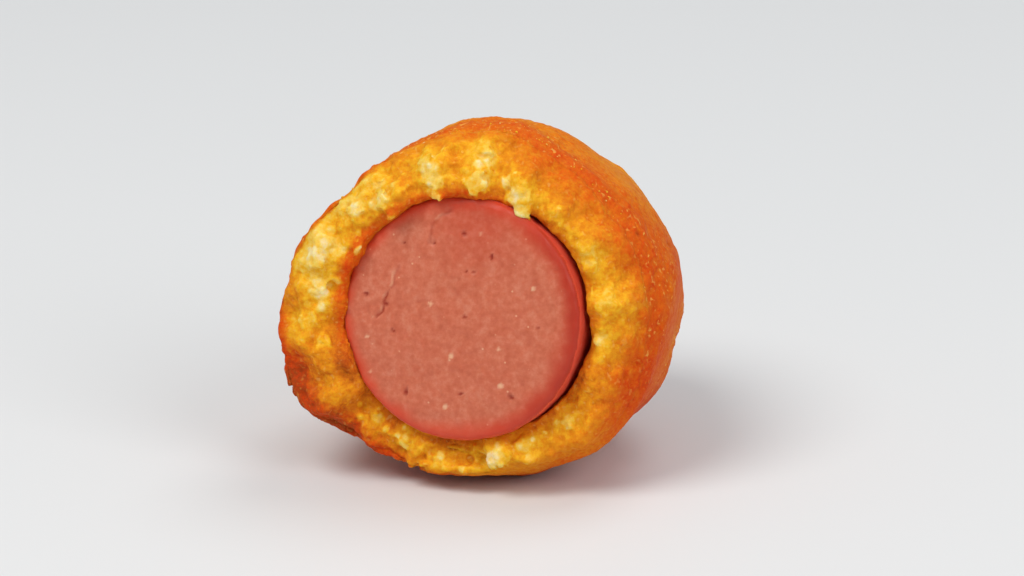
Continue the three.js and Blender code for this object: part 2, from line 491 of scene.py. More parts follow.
# The coat, rounded off from its solid. Crust and crumb are both shaped from it.
def makeSoftCoat():
    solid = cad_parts["batter"].data.copy()
    solid.transform(partToCoat)
    bm = bmesh.new()
    bm.from_mesh(solid)
    bmesh.ops.remove_doubles(bm, verts=bm.verts, dist=0.002)
    bmesh.ops.join_triangles(bm, faces=bm.faces, angle_face_threshold=0.7, angle_shape_threshold=0.7)
    piece = newPiece("softCoat", meshFrom("softCoat", bm))
    rounding = piece.modifiers.new("rounding", "SUBSURF")
    rounding.levels = rounding.render_levels = 2
    bakeShape(piece)
    return piece


softCoat = makeSoftCoat()
softTree = BVHTree.FromPolygons(
    [vertex.co for vertex in softCoat.data.vertices],
    [list(face.vertices) for face in softCoat.data.polygons],
)

# The ring where the skin is measured: its places, and mm behind the tear and from the axis.
skinRing = {"places": 144, "behind": 1.5, "from": 40}


# The coat's outer radius behind the tear, all round.
def measureSkin():
    radii = []
    for turn in range(skinRing["places"]):
        away = awayAt(2 * math.pi * turn / skinRing["places"])
        depth = depthAtSkin(away, skinRing["behind"])
        hit, _, _, _ = softTree.ray_cast(away * skinRing["from"] + Vector((0, depth, 0)), -away)
        radii.append(math.hypot(hit.x, hit.z))
    return radii


skinRadii = measureSkin()


def skinRadius(angle):
    places = len(skinRadii)
    turn = (angle / (2 * math.pi) % 1) * places
    first = int(turn)
    return mixed(skinRadii[first % places], skinRadii[(first + 1) % places], turn - first)


# How deep a point lies under the skin, in mm towards the axis.
def underSkin(point, angle):
    return skinRadius(angle) - math.hypot(point.x, point.z)


# The torn rim, in mm.
rimForm = {
    "shapedTo": 4,  # behind the tear
    "reach": 2.2,  # from its edge, over which it is rounded or chipped
    "rounding": 0.75,
    "backwards": 0.8,  # how much of a move goes into the food, for 1 towards the axis
    "edge": 0.5,  # behind the tear, where the skin begins
    "slope": 0.35,
    "seam": (0.4, 1.1),  # over which the crumb rises out of the crust, on a sharp rim and a round one
}

# A chip out of the rim below, and small chips and flakes: degrees from the right, and mm.
rimChip = {"from": -128, "to": -109, "fades": (8, 2), "depth": 0.5}
smallChips = {
    "from": -165,
    "to": -92,
    "fades": (8, 8),
    "depth": 1.3,
    "size": 1.6,
    "flake": 0.5,
    "flakeSize": 1.5,
}


# Rounds the torn rim where the batter was pressed rather than pulled apart, and chips it.
def roundRim(piece):
    r = rimForm
    for vertex in piece.data.vertices:
        behind = behindTear(vertex.co)
        if behind > r["shapedTo"]:
            continue
        angle = angleOf(vertex.co)
        near = smoothStep(r["reach"], 0, math.hypot(underSkin(vertex.co, angle), max(0, behind)))
        inwards = Vector((0, r["backwards"], 0)) - awayAt(angle)
        rounded = r["rounding"] * tearAt(angle)[3]
        chip = rimChip["depth"] * within(rimChip, angle)
        small = smallChips["depth"] * max(0, lumps(vertex.co, smallChips["size"], 2.6, 2))
        small *= within(smallChips, angle)
        vertex.co += inwards * ((rounded + chip + small) * near)


roundRim(softCoat)
print("coat rounded")


# How far in from the skin a place on the tear lies, in mm. It is under 0 behind the rim.
def inFromSkin(point, angle):
    return underSkin(point, angle) - rimForm["slope"] * max(0, behindTear(point) - rimForm["edge"])


def seamWidth(angle):
    return mixed(*rimForm["seam"], tearAt(angle)[3])


# The browned batter at the tear: how uneven its edge is, over which shares of its reach it fades
# and darkens, and its tone within, which is amber unless it is burnt right through.
brownForm = {
    "uneven": 0.3,
    "rippleSize": 1.1,
    "waveSize": 3.0,
    "friedFade": (1.25, 0.1),
    "darkFade": (0.75, -0.1),
    "amber": 0.28,
    "burntThrough": 6,  # the higher, the darker the skin has to be for it
}


# How much of the fried skin's colour the batter has at a place near the tear, and how dark it is.
def browned(point, angle, inwards):
    b = brownForm
    reach, dark = tearAt(angle)[:2]
    ripples = b["uneven"] * lumps(point, b["rippleSize"], 3.1, 3)
    uneven = ripples + b["uneven"] * lumps(point, b["waveSize"], 6.2)
    ragged = inwards + uneven * mixed(0.4, 1, min(1, reach / 2))
    fried = smoothStep(*(share * reach for share in b["friedFade"]), ragged)
    inner = mixed(b["amber"], dark, dark ** b["burntThrough"])
    return fried, mixed(inner, dark, smoothStep(*(share * reach for share in b["darkFade"]), ragged))


# How far the batter has come away from the casing, from 0 to 1. It has done so on the right only.
def comeAway(angle):
    return smoothStep(0.1, 0.85, math.cos(angle))


# How far in mm the batter's inner edge is moved outwards, to close the pocket's gap.
edgeMove = {"held": -0.6, "away": -0.45}


def innerEdge(angle):
    return mixed(edgeMove["held"], edgeMove["away"], comeAway(angle))


# The crust
crustForm = {
    "voxel": 0.26,
    "swell": 0.16,
    "swellSize": 5.0,
    "wrinkle": 0.13,
    "wrinkleSize": 1.5,
    "coarseSize": 7.0,  # from one coarse patch of the skin to the next
    "coarseRelief": (0.35, 1.2),  # the share of the relief that smooth and coarse skin have
    "grain": 0.045,
    "grainSize": 0.6,
    "pitDepth": 0.2,
    "pitRadius": 0.34,
    "pitSpacing": 2.6,
    "blisterHeight": 0.13,
    "blisterRadius": 0.9,
    "blisterSpacing": 3.2,
    "ragged": 0.3,  # how far the rim runs in and out along the axis
    "raggedSize": 1.3,
    "rimSink": 0.9,  # how far it draws back under the crumb
    "tornSide": (6, 4.5),  # mm behind the tear, between which the torn side begins
    "pocketWall": 0.85,  # mm round the pocket that are its wall
    "pocketDepth": 21.9,
    "wallSink": 0.6,  # how far the wall's front draws back under the crumb, and spreads
    "wallSpread": 0.2,
    "tone": 0.5,  # from golden at 0 to russet at 1
    # On the right the skin is darker, partly from deeper frying and partly as painted shade; on top it is
    # more golden, partly from the frying and partly as painted light.
    "toneRightFryAndShade": 0.07,  # what is added on the right, on top and in patches
    "toneTopFryAndLight": -0.17,
    "tonePatches": 0.13,
    "patchSize": 6,
    "grits": (0.2, 0.8),  # on smooth and coarse skin
    "pitTone": 0.7,
}


def inPocket(point, normal):
    across = fromSausageAxis(point)
    faced = normal.dot(across) < 0.3 * across.length
    near = across.length < pocketRadius + crustForm["pocketWall"]
    return faced and near and point.y < crustForm["pocketDepth"]


# How much a place of the coat belongs to the torn face, from 0 on the skin to 1.
def onTornSide(point, angle):
    nearTear = smoothStep(*crustForm["tornSide"], behindTear(point))
    return nearTear * smoothStep(0.2, 1, inFromSkin(point, angle))


# How coarse the skin is at a place, from 0 to 1. It is coarser on top.
def coarseSkin(point, normal):
    return smoothStep(-0.3, 0.8, lumps(point, crustForm["coarseSize"], 4.2) + 0.5 * normal.z)


def shapeCrust(point, normal):
    c = crustForm
    angle = angleOf(point)
    behind = behindTear(point)
    if inPocket(point, normal):
        front = smoothStep(4, 0, behind)
        deeper = c["wallSink"] + crumbForm["sunkEdge"] * comeAway(angle)
        spread = fromSausageAxis(point).normalized() * (c["wallSpread"] * front)
        return Vector((0, deeper * front, 0)) + spread
    seam = seamWidth(angle)
    sink = c["rimSink"] * smoothStep(0.68 * seam, 1.5 * seam, inFromSkin(point, angle))
    sink *= smoothStep(*c["tornSide"], behind)
    pit = spots(point, c["pitSpacing"], c["pitRadius"], 0.5)
    blister = spots(point, c["blisterSpacing"], c["blisterRadius"], 0.6, 3.7)
    crease = 1 - abs(lumps(point, c["wrinkleSize"], 2.2, 2))
    coarse = mixed(*c["coarseRelief"], coarseSkin(point, normal))
    flake = smallChips["flake"] * smoothStep(-0.05, 0.3, lumps(point, smallChips["flakeSize"], 8.3, 2))
    height = (
        c["swell"] * lumps(point, c["swellSize"], 5.3) * smoothStep(0, 4, behind)
        + c["wrinkle"] * (crease - 0.6) * coarse
        + c["grain"] * lumps(point, c["grainSize"], 9.1, 2) * coarse
        + c["blisterHeight"] * blister
        - c["pitDepth"] * pit
        - flake * within(smallChips, angle) * smoothStep(4.5, 1, behind)
    )
    skin = 1 - onTornSide(point, angle)
    ragged = c["ragged"] * lumps(point, c["raggedSize"], 7.9, 2) * smoothStep(1.5, 0, behind) * skin
    return normal * (height * skin - sink) + Vector((0, ragged, 0))


def tintCrust(point, normal, index):
    c = crustForm
    angle = angleOf(point)
    behind = behindTear(point)
    fried, dark = browned(point, angle, inFromSkin(point, angle))
    fried = mixed(1, fried, smoothStep(*c["tornSide"], behind))
    if inPocket(point, normal):
        fried = 0
    patches = c["tonePatches"] * lumps(point, c["patchSize"], 1.5)
    # Darker towards the right and golden on top: partly the frying, partly painted light and shade.
    skin = c["tone"] + c["toneRightFryAndShade"] * normal.x + c["toneTopFryAndLight"] * normal.z + patches
    pit = spots(point, c["pitSpacing"], c["pitRadius"], 0.5)
    return {
        "browning": mixed(skin, dark, smoothStep(6, 0, behind)),
        "fried": fried,
        "crumbTone": 0.6,
        "gritty": mixed(*c["grits"], coarseSkin(point, normal)),
        "pit": c["pitTone"] * pit * (1 - onTornSide(point, angle)),
    }


def makeCrust():
    crust = newPiece("friedCrust", softCoat.data.copy())
    remesh(crust, crustForm["voxel"], 2)
    sculpt(crust, shapeCrust)
    keep(crust, tintCrust)
    return crust


# The crumb. Shares run from the casing at 0 to the skin at 1.
crumbForm = {
    "voxel": 0.14,
    "backDepth": 2.3,  # mm behind the torn rim's plane
    "backEdge": 0.4,  # nothing is put on it this near its back
    "proud": 0.12,  # how far it stands over the coat's solid
    "tucked": 0.4,  # and how far it lies under the crust at the skin
    "closing": (1.1, 0.5),  # mm from the pocket, between which it closes on the casing
    "sunkEdge": 0.85,  # how much deeper it lies beside the casing where it has come away
    "sunkWidth": 1.5,
    "swell": 0.3,
    "swellSize": 2.4,
    "crag": 0.15,
    "cragSize": 1.0,
    "grain": 0.085,
    "grainSize": 0.36,
    "warp": 0.12,
    "warpSize": 0.8,
    "looseBits": 1100,
    "looseShares": (0.02, 0.86),
    "edgeBits": 80,
    "edgeShares": (-0.05, 0.07),
    "smallBit": 0.12,
    "largeBit": 0.34,
    "largeEdgeBit": 0.26,
    "bitRise": (-0.75, 0.15),  # from deep in the face to just out of it, in a bit's own radius
    "paleBits": 0.1,
    "paleFrom": 0.15,
    "clumps": 26,  # besides the large ones
    "clumpShares": (0.1, 0.75),
    "clumpRadii": (0.25, 0.55),
    "clumpBits": (10, 30),  # in the least one, and more for each mm of its radius
    "clumpBit": (0.2, 0.5),  # the sizes of its bits, in its radius
    "overhang": 0.7,  # the most that a clump reaches over the pocket
    "standOut": 0.45,  # and that a bit stands in front of the torn face
    "bubbles": 130,
    "bubbleShares": (0.15, 0.8),
    "smallBubble": 0.2,
    "largeBubble": 0.5,
    "seed": 11,
}

# A bit of crumb broke off below, so the face is lower there: degrees from the right, and mm.
brokenOff = {"from": -112, "to": -77, "fades": (12, 3), "depth": 0.5}

# Large clumps of pale meal: degrees from the right, share, and radius in mm. Those with a share
# near 0 hang over the casing.
paleClumps = [
    (105, 0.06, 0.7), (62, 0.05, 0.7), (153, 0.0, 0.45), (128, 0.01, 0.45),
    (84, 0.24, 0.95), (67, 0.22, 0.8), (74, 0.34, 0.55), (83, 0.6, 0.6), (103, 0.3, 0.7),
    (105, 0.55, 0.85), (127, 0.3, 0.8), (127, 0.58, 0.75), (139, 0.55, 0.6), (164, 0.6, 0.85),
    (176, 0.38, 0.75), (188, 0.5, 0.8), (198, 0.3, 0.55), (-75, 0.58, 0.95), (-64, 0.4, 0.45),
    (-63, 0.7, 0.4), (-44, 0.41, 0.5), (-97, 0.5, 0.45), (-112, 0.5, 0.55), (-126, 0.4, 0.5),
    (24, 0.3, 0.5), (10, 0.2, 0.5), (-8, 0.25, 0.45),
]


# The front of the coat, closed behind. It lies under the crust at the skin and closes on the
# casing, deeper on the right, where the crumb has come away.
def makeCrumbBase():
    c = crumbForm
    closeFrom, closeTo = (pocketRadius + distance for distance in c["closing"])
    base = bmesh.new()
    base.from_mesh(softCoat.data)
    base.normal_update()
    moves = []
    for vertex in base.verts:
        angle = angleOf(vertex.co)
        rise = smoothStep(0, seamWidth(angle), inFromSkin(vertex.co, angle))
        out = mixed(-c["tucked"], c["proud"], rise)
        across = fromSausageAxis(vertex.co)
        closing = smoothStep(closeFrom, closeTo, across.length)
        move = vertex.normal * out * (1 - closing) + across.normalized() * (innerEdge(angle) * closing)
        sunk = smoothStep(pocketRadius + c["sunkWidth"], pocketRadius, across.length)
        move.y += c["sunkEdge"] * comeAway(angle) * sunk
        moves.append(move)
    for vertex, move in zip(base.verts, moves):
        vertex.co += move
    cut = bmesh.ops.bisect_plane(
        base,
        geom=base.verts[:] + base.edges[:] + base.faces[:],
        plane_co=(0, tearPlane["depth"] + c["backDepth"], 0),
        plane_no=Vector((-tearPlane["slant"], 1, 0)).normalized(),
        clear_outer=True,
    )
    edges = [item for item in cut["geom_cut"] if isinstance(item, bmesh.types.BMEdge)]
    bmesh.ops.bridge_loops(base, edges=edges)
    bmesh.ops.recalc_face_normals(base, faces=base.faces)
    return base


inFront = Vector((0, -8, 0))  # mm, well clear of the torn face


# The point of the torn face at an angle and a share of the way from the casing to the skin. Under
# the least share it is as high as the face is there.
def onTornFace(surface, angle, share, least=0.05):
    inner = pocketRadius + innerEdge(angle) - sausageSize["below"] * math.sin(angle)
    away = awayAt(angle)
    radius, wanted = (mixed(inner, skinRadius(angle), part) for part in (max(least, share), share))
    hit, normal, _, _ = surface.ray_cast(away * radius + inFront, Vector((0, 1, 0)))
    if hit is None or behindTear(hit) > crumbForm["backDepth"] - crumbForm["backEdge"]:
        return None, None
    return hit + away * (wanted - radius), normal


bitCorners = 12  # the vertices of one bit


# An angular flake that lies along the torn face.
def addBit(gathered, middle, size, draw):
    bit = bmesh.new()
    bmesh.ops.create_icosphere(bit, subdivisions=1, radius=size)
    for vertex in bit.verts:
        vertex.co *= draw.uniform(0.55, 1.25)
    flake = (draw.uniform(0.7, 1.4), draw.uniform(0.4, 0.9), draw.uniform(0.7, 1.4))
    bmesh.ops.scale(bit, verts=bit.verts, vec=flake)
    bmesh.ops.translate(bit, verts=bit.verts, vec=middle)
    mesh = meshFrom("bit", bit)
    gathered.from_mesh(mesh)
    bpy.data.meshes.remove(mesh)


# Angular bits of crumb, half sunk in the torn face. Gives the pale ones' middles and radii.
def scatterBits(gathered, surface, draw):
    c = crumbForm
    pale = []
    for number in range(c["looseBits"] + c["edgeBits"]):
        atEdge = number >= c["looseBits"]
        angle = draw.uniform(-math.pi, math.pi)
        share = draw.uniform(*c["edgeShares" if atEdge else "looseShares"])
        largest = c["largeEdgeBit"] if atEdge else c["largeBit"] * mixed(0.5, 1, tearAt(angle)[2])
        size = mixed(c["smallBit"], largest, draw.random() ** 1.6)
        middle, normal = onTornFace(surface, angle, share)
        if middle is None:
            continue
        middle += normal * (size * draw.uniform(*c["bitRise"]))
        addBit(gathered, middle, size, draw)
        if draw.random() < c["paleBits"] and share > c["paleFrom"]:
            pale.append((middle, size))
    return pale


# Clumps of pale meal, each of several bits. Gives their middles and radii.
def heapClumps(gathered, surface, draw):
    c = crumbForm
    places = [(math.radians(degrees), share, radius) for degrees, share, radius in paleClumps]
    for _ in range(c["clumps"]):
        angle = draw.uniform(-math.pi, math.pi)
        share = draw.uniform(*c["clumpShares"])
        places.append((angle, share, draw.uniform(*c["clumpRadii"]) * tearAt(angle)[2]))
    fewest, more = c["clumpBits"]
    clumps = []
    for angle, share, radius in places:
        middle, normal = onTornFace(surface, angle, share, 0.2)
        if middle is None:
            continue
        clumps.append((middle, radius))
        for _ in range(int(fewest + more * radius)):
            away = Vector((draw.gauss(0, 0.45), draw.gauss(0, 0.15), draw.gauss(0, 0.45))) * radius
            size = radius * draw.uniform(*c["clumpBit"])
            place = middle + away + normal * (0.2 * radius)
            across = fromSausageAxis(place)
            tooFar = pocketRadius - c["overhang"] + size - across.length
            if tooFar > 0:
                place += across.normalized() * tooFar
            addBit(gathered, place, size, draw)
    return clumps


# Torn bubbles between the clumps: what lies in one is pushed out to its wall.
def openBubbles(crumb, surface, clumps, draw):
    c = crumbForm
    firm = [(middle, radius) for middle, radius in clumps if radius > c["largeBit"]]
    vertices = crumb.data.vertices
    finder = kdtree.KDTree(len(vertices))
    for vertex in vertices:
        finder.insert(vertex.co, vertex.index)
    finder.balance()
    for _ in range(c["bubbles"]):
        angle = draw.uniform(-math.pi, math.pi)
        share = draw.uniform(*c["bubbleShares"])
        size = mixed(c["smallBubble"], c["largeBubble"], draw.random() ** 2)
        size *= mixed(0.4, 1, tearAt(angle)[2])
        middle, normal = onTornFace(surface, angle, share)
        if middle is None:
            continue
        middle += normal * (draw.uniform(-0.4, 0.2) * size)
        if any((middle - spot).length < radius + size for spot, radius in firm):
            continue
        for _, index, away in finder.find_range(middle, size):
            wider = (size / max(away, 0.05)) ** 0.8
            vertices[index].co = middle + (vertices[index].co - middle) * wider


# Presses back what stands out too far in front of the torn face.
def pressBack(crumb, surface):
    for vertex in crumb.data.vertices:
        if fromPocket(vertex.co) < 0:
            continue
        nearest, normal, _, _ = surface.find_nearest(vertex.co)
        tooFar = (vertex.co - nearest).dot(normal) - crumbForm["standOut"]
        if tooFar > 0:
            vertex.co -= normal * (0.85 * tooFar)


# Swells, crags and grain, which are lower where the batter was pressed and towards the edges.
def crumble(point, normal):
    c = crumbForm
    angle = angleOf(point)
    under = underSkin(point, angle)
    calm = mixed(0.5, 1, tearAt(angle)[2]) * mixed(0.4, 1, smoothStep(0.2, 1.5, under))
    calm *= smoothStep(c["backDepth"], c["backDepth"] - 1.2, behindTear(point))
    calm *= mixed(0.55, 1, smoothStep(0, 0.9, fromPocket(point)))
    warp = Vector([lumps(point, c["warpSize"], seed) for seed in (31, 57, 83)])
    height = (
        c["swell"] * lumps(point, c["swellSize"], 4.4, 2)
        + c["crag"] * (0.7 - 1.6 * abs(lumps(point, c["cragSize"], 6.6, 2)))
        + c["grain"] * lumps(point, c["grainSize"], 1.7, 2)
    )
    lower = brokenOff["depth"] * within(brokenOff, angle) * smoothStep(0.8, 1.6, under)
    return (normal * height + warp * c["warp"]) * calm + Vector((0, lower, 0))


# The crumb's tone, from cream at 0 to amber at 1, and what is added to it. The places of the paler
# parts and of the stain are in degrees from the right.
crumbTint = {
    "tone": 0.5,
    "clump": -0.35,
    "halo": -0.13,  # round the larger clumps
    # Painted light and shade: places that stand out are paler, hollows deeper amber.
    "height": -0.6,  # for each mm that a place stands out
    "patches": 0.14,
    "patchSize": 2.6,
    "fried": 0.22,
    # Painted shade: the crumb turns deeper amber beside the casing, where the sausage shades it.
    "shadeByCasing": 0.22,
    "right": {"from": 30, "to": 55, "pale": 0.4},
    "upperLeft": {"at": 155, "pale": 0.72},
    "stain": {"at": 130, "least": 0.15, "most": 0.85, "browning": 0.7},
}


def tintCrumb(clumps, heights):
    t = crumbTint
    right, upperLeft, stained = t["right"], t["upperLeft"], t["stain"]
    finder = kdtree.KDTree(len(clumps))
    for number, (middle, _) in enumerate(clumps):
        finder.insert(middle, number)
    finder.balance()

    def tint(point, normal, index):
        angle = angleOf(point)
        height = max(-0.5, min(0.5, heights[index]))
        clump = 0
        halo = 0
        for _, number, away in finder.find_n(point, 8):
            radius = clumps[number][1]
            uneven = away + 0.35 * radius * lumps(point, 0.6, 2.4)
            clump = max(clump, smoothStep(1.35 * radius, 0.75 * radius, uneven))
            halo = max(halo, smoothStep(1.6, 0.3, uneven - radius) * smoothStep(0.2, 0.5, radius))
        # Clumps are paler where they stand out, as painted light.
        clump *= mixed(0.6, 1, smoothStep(-0.12, 0.12, height))
        onLeft = smoothStep(right["from"], right["to"], abs(math.degrees(angle)))
        clump *= mixed(right["pale"], 1, onLeft)
        near = smoothStep(0.5, 0.95, math.cos(angle - math.radians(upperLeft["at"])))
        clump *= mixed(1, upperLeft["pale"], near)
        fried, dark = browned(point, angle, inFromSkin(point, angle))
        clump *= 1 - 0.8 * fried
        fromCasing = fromPocket(point)
        # Painted shade beside the casing, where the sausage stands proud of the crumb.
        shadeByCasing = smoothStep(1.3, 0.0, fromCasing)
        # Juice from the meat has stained the crumb beside it.
        stain = smoothStep(0.8, -0.2, fromCasing + 0.15 * lumps(point, 1.2, 5.8)) * (1 - 0.7 * clump)
        near = smoothStep(-0.2, 0.9, math.cos(angle - math.radians(stained["at"])))
        stain *= mixed(stained["least"], stained["most"], near)
        tone = (
            t["tone"]
            + t["clump"] * clump
            + t["halo"] * halo
            + t["height"] * height * (1 - 0.5 * clump)
            + t["patches"] * lumps(point, t["patchSize"], 8.8, 2)
            + tearAt(angle)[4]
            + t["fried"] * fried
            + t["shadeByCasing"] * shadeByCasing * (1 - 0.6 * clump)
        )
        return {
            "browning": mixed(dark, stained["browning"], stain),
            "fried": max(fried, stain),
            "crumbTone": tone,
            "gritty": 0.3,
            "pit": 0.0,
        }

    return tint


def makeCrumb():
    c = crumbForm
    draw = random.Random(c["seed"])
    base = makeCrumbBase()
    surface = BVHTree.FromBMesh(base)
    clumps = scatterBits(base, surface, draw)
    clumps += heapClumps(base, surface, draw)
    crumb = newPiece("tornCrumb", meshFrom("tornCrumb", base))
    remesh(crumb, c["voxel"], 1)
    sculpt(crumb, crumble)
    openBubbles(crumb, surface, clumps, draw)
    remesh(crumb, c["voxel"])
    pressBack(crumb, surface)
    dropLooseBits(crumb)
    keep(crumb, tintCrumb(clumps, standsOut(crumb, 30)))
    return crumb


# Tiny crumbs that fell on the crust beside the tear.
looseForm = {
    "count": 60,
    "smallest": 0.05,
    "largest": 0.15,
    "nearest": 0.2,  # mm behind the rim
    "spread": 3.0,
    "middle": 85,  # degrees from the right
    "sideways": 36,
    "from": 20,  # mm from the axis, where they fall from
    "tones": (0.1, 0.6),
    "seed": 5,
}


def makeLooseCrumbs(crust):
    c = looseForm
    draw = random.Random(c["seed"])
    bm = bmesh.new()
    bm.from_mesh(crust.data)
    surface = BVHTree.FromBMesh(bm)
    bm.clear()
    for _ in range(c["count"]):
        angle = math.radians(draw.gauss(c["middle"], c["sideways"]))
        behind = c["nearest"] + abs(draw.gauss(0, 0.4)) * c["spread"]
        size = mixed(c["smallest"], c["largest"], draw.random() ** 3)
        away = awayAt(angle)
        start = away * c["from"] + Vector((0, depthAtSkin(away, behind), 0))
        hit, normal, _, _ = surface.ray_cast(start, -away)
        if hit:
            addBit(bm, hit + normal * (0.15 * size), size, draw)
    crumbs = newPiece("looseCrumbs", meshFrom("looseCrumbs", bm))
    paleness = random.Random(c["seed"])
    tones = {}

    def tint(point, normal, index):
        tone = tones.setdefault(index // bitCorners, paleness.uniform(*c["tones"]))
        return {"crumbTone": tone, "fried": 0.0, "browning": 0.5, "gritty": 0.0, "pit": 0.0}

    keep(crumbs, tint)
    return crumbs


# The sausage
sausageForm = {
    "voxel": 0.165,
    "turns": 160,
    "faceSteps": 8,  # along the half profile: over the face, round its edge and round the end
    "edgeSteps": 6,
    "endSteps": 10,
    "faceDepth": 2,  # mm in which the face lies
    # Places on the face, in mm across and up from its middle, and how open each crack is.
    "cracks": [
        (0.45, [(-0.9, 8.6), (-1.9, 8.2), (-2.6, 7.3), (-2.8, 6.3), (-2.7, 5.7)]),
        (0.35, [(-5.3, 3.6), (-5.6, 2.4), (-5.9, 1.6)]),
        (0.9, [(-6.0, 1.4), (-6.3, 0.6), (-6.5, 0.0), (-7.0, -0.5)]),
    ],
    "crackWidth": 0.07,
    "waver": 0.2,
    "waverSize": 0.9,
    "pits": [
        (-7.9, 1.3, 0.26), (0.6, 0.4, 0.22), (-4.0, -6.1, 0.32), (0.5, -5.9, 0.22), (4.5, -5.8, 0.36),
        (-5.3, -1.3, 0.2), (-2.4, 5.6, 0.2), (-4.8, 5.6, 0.2), (0.1, 6.8, 0.2), (6.4, -0.3, 0.18),
        (0.2, 3.9, 0.2), (0.9, 3.9, 0.18), (2.2, 5.1, 0.18), (-6.1, 0.5, 0.24),
    ],
    "flecks": [
        (3.7, -5.0, 0.3), (-0.8, -7.1, 0.28), (-0.5, -3.0, 0.3), (-2.4, 1.0, 0.24), (5.9, 2.9, 0.22),
        (-7.6, -2.1, 0.2), (-7.2, -4.9, 0.2), (1.4, 6.9, 0.22), (3.4, -2.1, 0.2),
    ],
    "pitDepth": 0.2,
    # How far the red of the casing has gone into the meat: degrees from the right, and mm. It reaches
    # further at the top, partly as painted shade under the crumb that overhangs the face.
    "redReach": [
        (-180, 1.4), (-140, 1.5), (-90, 2.3), (-45, 2.3), (20, 2.2), (75, 2.8), (110, 2.2),
        (135, 1.5), (180, 1.4),
    ],
    "red": 0.92,
    # Painted shade at the top of the face, under the overhanging crumb: redder there, and darker with the
    # pit's colour.
    "topShadeRed": 0.45,
    "topShade": 0.22,
    # Painted shade along the right edge of the face, where the casing's side is in shade.
    "rightEdgeShade": 0.7,
    "crackDark": 0.9,
    # A painted highlight along the left edge of each crack.
    "highlightByCrack": 0.28,
    "fleckPale": 0.7,
}


# How far a spot is from a path through several points.
def fromPath(spot, path):
    distances = []
    for start, end in zip(path, path[1:]):
        a, b = Vector(start), Vector(end)
        along = max(0, min(1, (spot - a).dot(b - a) / (b - a).length_squared))
        distances.append((spot - a - (b - a) * along).length)
    return min(distances)


def isFace(point, normal):
    return point.y < sausageForm["faceDepth"] and normal.y < -0.25


# Where a point lies across and up from the face's middle.
def onFace(point):
    return Vector((point.x, point.z + sausageSize["below"]))


# How far the cracks and pits waver at a point.
def waver(point):
    size = sausageForm["waverSize"]
    return sausageForm["waver"] * Vector((lumps(point, size, 2.7), lumps(point, size, 8.2)))


# How much of a crack or a pit there is at a point of the face, from 0 to 1.
def brokenFace(point):
    s = sausageForm
    bent = onFace(point) + waver(point)
    width = s["crackWidth"] * (1.1 + 0.8 * lumps(point, 0.7, 4.9))
    broken = 0
    for openness, path in s["cracks"]:
        broken = max(broken, openness * smoothStep(2.4 * width + 0.02, 0, fromPath(bent, path)))
    for x, z, size in s["pits"]:
        broken = max(broken, smoothStep(size, 0.3 * size, (bent - Vector((x, z))).length))
    return max(broken, 0.5 * spots(point, 1.5, 0.14, 0.4, 6.1))


# The painted highlight along the left edge of a crack, from 0 to 1.
def paintedCrackHighlight(point):
    beside = onFace(point) + Vector((0.2, 0.05)) + waver(point)
    near = min(fromPath(beside, path) for _, path in sausageForm["cracks"])
    return smoothStep(0.15, 0.03, near) * smoothStep(-0.1, 0.4, lumps(point, 0.9, 1.9))


def shapeSausage(point, normal):
    height = 0.05 * lumps(point, 2.2, 1.1, 2) + 0.03 * lumps(point, 0.7, 5.5, 2)
    if isFace(point, normal):
        height += 0.06 * lumps(point, 4.5, 3.3) - sausageForm["pitDepth"] * brokenFace(point)
    return normal * height


def tintSausage(point, normal, index):
    s = sausageForm
    spot = onFace(point)
    reach = rowAt(s["redReach"], math.degrees(math.atan2(spot.y, spot.x)))[0]
    fromEdge = sausageSize["radius"] - spot.length + 0.25 * lumps(point, 2.0, 7.7, 2)
    # Painted shade at the top of the face, where the crumb overhangs it.
    top = smoothStep(2.5, 9.0, spot.y) * smoothStep(5.5, 0, abs(spot.x - 1.2))
    # Painted shade along the face's right edge.
    right = smoothStep(1, 9, spot.x) * smoothStep(1.8, 0.2, fromEdge)
    pit = fleck = 0.0
    if isFace(point, normal):
        # Besides the cracks and pits, the pit colour paints shade at the top and along the right edge.
        pit = max(s["crackDark"] * brokenFace(point), s["topShade"] * top, s["rightEdgeShade"] * right)
        for x, z, size in s["flecks"]:
            near = smoothStep(size, 0.4 * size, (spot - Vector((x, z))).length)
            fleck = max(fleck, s["fleckPale"] * near)
        # The fat's pale colour paints the highlight along the cracks.
        fleck = max(fleck, s["highlightByCrack"] * paintedCrackHighlight(point))
    return {
        "casing": smoothStep(-0.55, -0.2, normal.y) if point.y < s["faceDepth"] else 1.0,
        "rim": max(s["topShadeRed"] * top, s["red"] * smoothStep(reach, 0.1, fromEdge) ** 1.4),
        "pit": pit,
        "fleck": fleck,
    }


# The sausage's half profile, from the middle of its face to the middle of its end.
def sausageProfile():
    s = sausageForm
    z = sausageSize
    flat = z["radius"] - z["edgeRound"]
    profile = []
    for step in range(s["faceSteps"] + 1):
        share = step / s["faceSteps"]
        profile.append((flat * share, -z["dome"] * (1 - share**2)))
    for step in range(1, s["edgeSteps"] + 1):
        turn = math.pi / 2 * step / s["edgeSteps"]
        profile.append((flat + z["edgeRound"] * math.sin(turn), z["edgeRound"] * (1 - math.cos(turn))))
    for step in range(s["endSteps"] + 1):
        turn = math.pi / 2 * step / s["endSteps"]
        radius = z["radius"] - z["endRound"] * (1 - math.cos(turn))
        profile.append((radius, z["length"] - z["endRound"] * (1 - math.sin(turn))))
    profile.append((0, z["length"]))
    return profile


